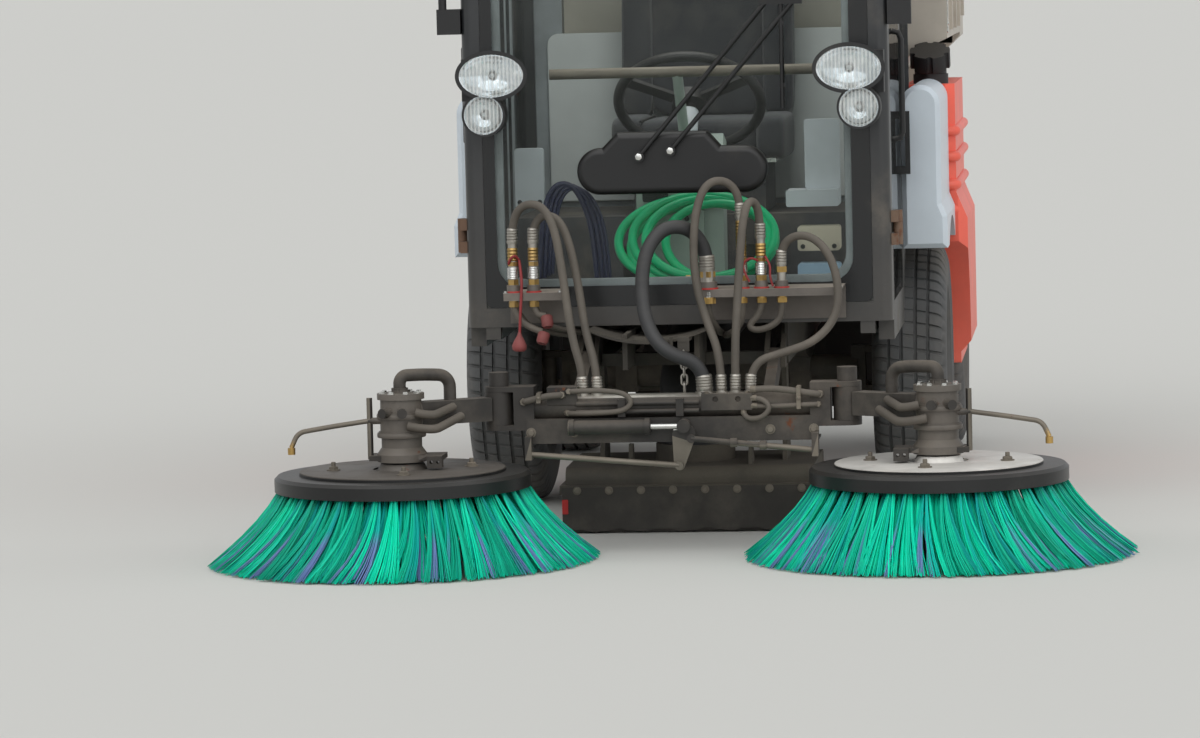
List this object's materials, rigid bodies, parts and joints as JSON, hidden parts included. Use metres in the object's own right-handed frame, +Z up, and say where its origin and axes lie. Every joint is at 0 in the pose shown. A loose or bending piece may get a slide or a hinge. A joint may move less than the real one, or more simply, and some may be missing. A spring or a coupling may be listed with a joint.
{
  "type": "compact street sweeper truck",
  "caption": "Compact street sweeper with a glazed forward cab, two green front side brushes on a lifting beam, side water tanks, suction mouth and a tipping hopper.",
  "frame": {"origin": "on the ground, in the middle of the length and the width, under the bounding box's centre", "axes": "+Z up, front of the vehicle towards -Y, +X to the vehicle's left"},
  "size_m": [2.23, 3.558, 2.066],
  "materials": {
    "cab_paint": "satin dark blue-grey",
    "frame_paint": "satin black, dusty",
    "roof_paint": "gloss pale grey",
    "glass": "clear",
    "black_plastic": "matt",
    "seat_fabric": "woven",
    "lens": "clear lens",
    "lamp_red": "clear red",
    "beacon_amber": "clear amber",
    "tank_plastic": "moulded red-orange",
    "fender_plastic": "moulded blue-grey",
    "hopper_paint": "satin beige-grey",
    "tyre": "dusty",
    "rim_paint": "silver",
    "rubber": "matt",
    "hose_rubber": "dusty brown-grey",
    "hose_green": "emerald",
    "bristle": "green fibres",
    "steel": "bright",
    "disc_paint": "rusty beige-grey",
    "engine": "cast"
  },
  "bodies": {
    "root": {"chassis_frame": "frame_paint", "front_axle": "frame_paint", "rear_axle": "frame_paint", "cab_frame": "cab_paint", "cab_roof": "roof_paint", "cab_glass": "glass", "cab_floor": "black_plastic", "dash": "black_plastic", "seat": "seat_fabric", "headlamps": "black_plastic", "lamp_lenses": "lens", "wiper": "black_plastic", "mirrors": "black_plastic", "beacon": "beacon_amber", "coupling_plates": "frame_paint", "front_fenders": "fender_plastic", "water_tanks": "tank_plastic", "filler_caps": "black_plastic", "mudguards": "black_plastic", "engine_block": "engine", "suction_mouth": "frame_paint", "suction_skirt": "rubber", "suction_duct": "black_plastic", "rear_bumper": "frame_paint", "rear_lamps": "lamp_red", "hose_coil": "hose_green", "hose_left_outer": "hose_rubber", "hose_left_inner": "hose_rubber", "hose_conduit": "hose_rubber", "hose_mid_loop": "hose_rubber", "hose_mid": "hose_rubber", "hose_right": "hose_rubber", "chain": "steel"},
    "steering_wheel": {"steering_wheel": "black_plastic"},
    "tie_rod": {"tie_rod": "frame_paint"},
    "hopper": {"hopper": "hopper_paint"},
    "tailgate": {"tailgate": "hopper_paint"},
    "tip_barrels": {"tip_barrels": "frame_paint"},
    "tip_rods": {"tip_rods": "steel"},
    "lift_frame": {"lift_frame": "frame_paint"},
    "knuckle_left": {"knuckle_left": "frame_paint"},
    "wheel_front_left": {"rim_front_left": "rim_paint", "tyre_front_left": "tyre"},
    "wheel_rear_left": {"rim_rear_left": "rim_paint", "tyre_rear_left": "tyre"},
    "door_left": {"door_left": "cab_paint", "door_glass_left": "glass"},
    "brush_arm_left": {"brush_arm_left": "frame_paint"},
    "brush_left": {"brush_disc_left": "disc_paint", "bristles_left": "bristle"},
    "knuckle_right": {"knuckle_right": "frame_paint"},
    "wheel_front_right": {"rim_front_right": "rim_paint", "tyre_front_right": "tyre"},
    "wheel_rear_right": {"rim_rear_right": "rim_paint", "tyre_rear_right": "tyre"},
    "door_right": {"door_right": "cab_paint", "door_glass_right": "glass"},
    "brush_arm_right": {"brush_arm_right": "frame_paint"},
    "brush_right": {"brush_disc_right": "disc_paint", "bristles_right": "bristle"}
  },
  "joints": [
    {"name": "steer_left", "type": "hinge", "parent": "root", "child": "knuckle_left", "pos_m": [0.44, 0.06, 0.333], "axis": [0, 0, 1], "range_deg": [-25, 25]},
    {"name": "steer_right", "type": "hinge", "parent": "root", "child": "knuckle_right", "pos_m": [-0.44, 0.06, 0.333], "axis": [0, 0, 1], "range_deg": [-25, 25]},
    {"name": "tie_rod_pivot", "type": "hinge", "parent": "knuckle_left", "child": "tie_rod", "pos_m": [0.44, 0.19, 0.281], "axis": [0, 0, 1], "range_deg": [-25, 25]},
    {"name": "steering_wheel_turn", "type": "hinge", "parent": "root", "child": "steering_wheel", "pos_m": [0, -0.52, 1.035], "axis": [0, 0.6644, 0.7474], "range_deg": [-450, 450]},
    {"name": "hopper_tip", "type": "hinge", "parent": "root", "child": "hopper", "pos_m": [0, 1.545, 0.935], "axis": [-1, 0, 0], "range_deg": [0, 50]},
    {"name": "tailgate_hinge", "type": "hinge", "parent": "hopper", "child": "tailgate", "pos_m": [0, 1.48, 1.912], "axis": [1, 0, 0], "range_deg": [0, 80]},
    {"name": "barrel_pivot", "type": "hinge", "parent": "root", "child": "tip_barrels", "pos_m": [0.345, 1.18, 0.45], "axis": [-1, 0, 0], "range_deg": [0, 20]},
    {"name": "rod_slide", "type": "slide", "parent": "tip_barrels", "child": "tip_rods", "axis": [0, -0.0605, 0.9982], "range_m": [0, 0.4]},
    {"name": "brush_lift", "type": "hinge", "parent": "root", "child": "lift_frame", "pos_m": [0, -0.89, 0.44], "axis": [-1, 0, 0], "range_deg": [0, 16], "deforming": ["hose_left_outer", "hose_left_inner", "hose_conduit", "hose_mid_loop", "hose_mid", "hose_right", "chain"]},
    {"name": "wheel_front_left_spin", "type": "hinge", "parent": "knuckle_left", "child": "wheel_front_left", "pos_m": [0.5275, 0.06, 0.333], "axis": [1, 0, 0], "continuous": true},
    {"name": "wheel_rear_left_spin", "type": "hinge", "parent": "root", "child": "wheel_rear_left", "pos_m": [0.5275, 1.38, 0.333], "axis": [1, 0, 0], "continuous": true},
    {"name": "door_left_hinge", "type": "hinge", "parent": "root", "child": "door_left", "pos_m": [0.536, -0.877, 0.755], "axis": [0, 0, -1], "range_deg": [0, 70]},
    {"name": "brush_arm_left_swing", "type": "hinge", "parent": "lift_frame", "child": "brush_arm_left", "pos_m": [0.42, -1.17, 0.353], "axis": [0, 0, -1], "range_deg": [-12, 20]},
    {"name": "brush_left_spin", "type": "hinge", "parent": "brush_arm_left", "child": "brush_left", "pos_m": [0.64, -1.304, 0.2], "axis": [0, 0, 1], "continuous": true},
    {"name": "wheel_front_right_spin", "type": "hinge", "parent": "knuckle_right", "child": "wheel_front_right", "pos_m": [-0.5275, 0.06, 0.333], "axis": [1, 0, 0], "continuous": true},
    {"name": "wheel_rear_right_spin", "type": "hinge", "parent": "root", "child": "wheel_rear_right", "pos_m": [-0.5275, 1.38, 0.333], "axis": [1, 0, 0], "continuous": true},
    {"name": "door_right_hinge", "type": "hinge", "parent": "root", "child": "door_right", "pos_m": [-0.536, -0.877, 0.755], "axis": [0, 0, 1], "range_deg": [0, 70]},
    {"name": "brush_arm_right_swing", "type": "hinge", "parent": "lift_frame", "child": "brush_arm_right", "pos_m": [-0.42, -1.17, 0.353], "axis": [0, 0, 1], "range_deg": [-12, 20]},
    {"name": "brush_right_spin", "type": "hinge", "parent": "brush_arm_right", "child": "brush_right", "pos_m": [-0.64, -1.304, 0.2], "axis": [0, 0, 1], "continuous": true}
  ],
  "couplings": [
    {"joint": "steer_right", "follows": "steer_left", "ratio": 1},
    {"joint": "tie_rod_pivot", "follows": "steer_left", "ratio": -1},
    {"joint": "steering_wheel_turn", "follows": "steer_left", "ratio": 18},
    {"joint": "barrel_pivot", "follows": "hopper_tip", "ratio": 0.2395},
    {"joint": "rod_slide", "follows": "hopper_tip", "m_per_rad": 0.35173}
  ]
}
